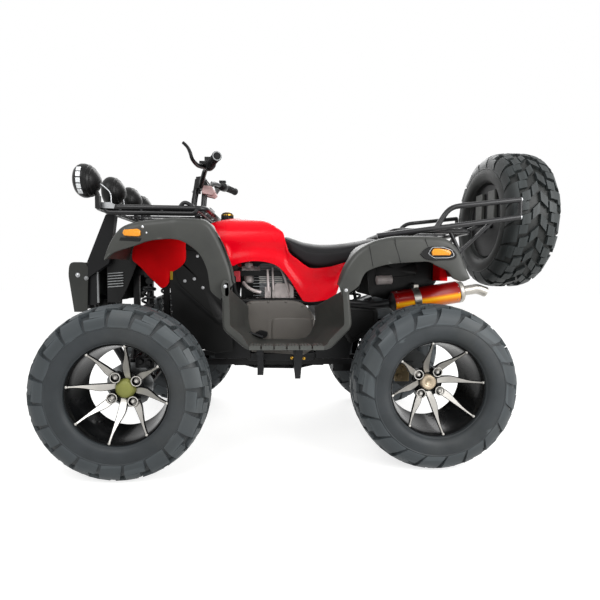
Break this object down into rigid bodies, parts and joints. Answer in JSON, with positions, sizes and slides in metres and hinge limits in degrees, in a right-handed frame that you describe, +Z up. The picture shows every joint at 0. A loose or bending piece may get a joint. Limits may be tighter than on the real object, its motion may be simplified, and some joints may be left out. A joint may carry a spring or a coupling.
{
  "type": "quad bike",
  "caption": "Petrol quad bike with saddle, handlebar, tube racks, lamps on the front rack, silencer and a spare tyre on a rear carrier; front wheels steer and all wheels roll.",
  "frame": {"origin": "centre of the bounding box's base, on the ground", "axes": "-X forwards, +Y to the vehicle's right, +Z up"},
  "size_m": [2.0868, 1.21, 1.3177],
  "materials": {
    "tyre": "moulded rubber",
    "alloy_wheel": "black painted with machined faces",
    "steel_parts": "black and bare steel",
    "black_tube": "black powder coat",
    "rubber": "ribbed rubber",
    "black_plastic": "moulded black plastic",
    "grey_plastic": "moulded dark grey plastic",
    "red_plastic": "glossy red plastic",
    "seat_cover": "grained black vinyl over foam",
    "spring_paint": "black painted spring",
    "cast_alloy": "cast alloy, painted cover",
    "exhaust_steel": "brushed stainless steel",
    "anodised": "orange anodised aluminium",
    "amber_lens": "amber lens",
    "silver_trim": "silver slats"
  },
  "bodies": {
    "chassis": {"frame": "black_tube", "suspension_arms": "black_tube", "front_shocks": "spring_paint", "swingarm": "black_tube", "rear_shock": "spring_paint", "chain": "steel_parts", "crankcase": "cast_alloy", "foot_levers": "steel_parts", "cylinder": "cast_alloy", "exhaust_pipe": "exhaust_steel", "muffler": "anodised", "muffler_ends": "exhaust_steel", "front_fenders": "grey_plastic", "rear_fenders": "grey_plastic", "inner_panels": "red_plastic", "splash_guards": "black_plastic", "footwells": "grey_plastic", "tank_cover": "red_plastic", "seat": "seat_cover", "filler_cap": "black_plastic", "nose_fairing": "black_plastic", "grille": "silver_trim", "marker_lamps": "amber_lens", "front_rack": "black_tube", "rear_rack": "black_tube", "lamps": "black_plastic", "bumper": "black_tube", "spare_tyre": "tyre", "spare_carrier": "black_tube"},
    "wheel_front_left": {"tyre_front_left": "tyre", "rim_front_left": "alloy_wheel", "hub_front_left": "steel_parts"},
    "wheel_front_right": {"tyre_front_right": "tyre", "rim_front_right": "alloy_wheel", "hub_front_right": "steel_parts"},
    "knuckle_left": {"knuckle_left": "steel_parts"},
    "knuckle_right": {"knuckle_right": "steel_parts"},
    "tie_rod_left": {"tie_rod_left": "steel_parts"},
    "tie_rod_right": {"tie_rod_right": "steel_parts"},
    "steering": {"steering_column": "black_tube", "handlebar": "black_tube", "grips": "rubber", "handlebar_controls": "black_plastic"},
    "rear_axle": {"rear_axle": "steel_parts", "tyres_rear": "tyre", "rims_rear": "alloy_wheel"}
  },
  "joints": [
    {"name": "steer", "type": "hinge", "parent": "chassis", "child": "steering", "pos_m": [-0.66659, 0, 0.4], "axis": [0.2005, 0, 0.9797], "range_deg": [-30, 30]},
    {"name": "knuckle_turn_left", "type": "hinge", "parent": "chassis", "child": "knuckle_left", "pos_m": [-0.72659, -0.3944, 0.31644], "axis": [0, 0, 1], "range_deg": [-30, 30]},
    {"name": "knuckle_turn_right", "type": "hinge", "parent": "chassis", "child": "knuckle_right", "pos_m": [-0.72659, 0.3944, 0.31644], "axis": [0, 0, 1], "range_deg": [-30, 30]},
    {"name": "tie_rod_swing_left", "type": "hinge", "parent": "steering", "child": "tie_rod_left", "pos_m": [-0.59801, -0.015, 0.38596], "axis": [0.2005, 0, 0.9797], "range_deg": [-30, 30]},
    {"name": "tie_rod_swing_right", "type": "hinge", "parent": "steering", "child": "tie_rod_right", "pos_m": [-0.59801, 0.015, 0.38596], "axis": [0.2005, 0, 0.9797], "range_deg": [-30, 30]},
    {"name": "wheel_spin_front_left", "type": "hinge", "parent": "knuckle_left", "child": "wheel_front_left", "pos_m": [-0.72659, -0.5125, 0.31644], "axis": [0, 1, 0], "continuous": true},
    {"name": "wheel_spin_front_right", "type": "hinge", "parent": "knuckle_right", "child": "wheel_front_right", "pos_m": [-0.72659, 0.5125, 0.31644], "axis": [0, 1, 0], "continuous": true},
    {"name": "rear_axle_spin", "type": "hinge", "parent": "chassis", "child": "rear_axle", "pos_m": [0.43341, 0, 0.31644], "axis": [0, 1, 0], "continuous": true}
  ],
  "couplings": [
    {"joint": "knuckle_turn_left", "follows": "steer", "ratio": 1},
    {"joint": "knuckle_turn_right", "follows": "steer", "ratio": 1},
    {"joint": "tie_rod_swing_left", "follows": "steer", "ratio": -1},
    {"joint": "tie_rod_swing_right", "follows": "steer", "ratio": -1}
  ]
}
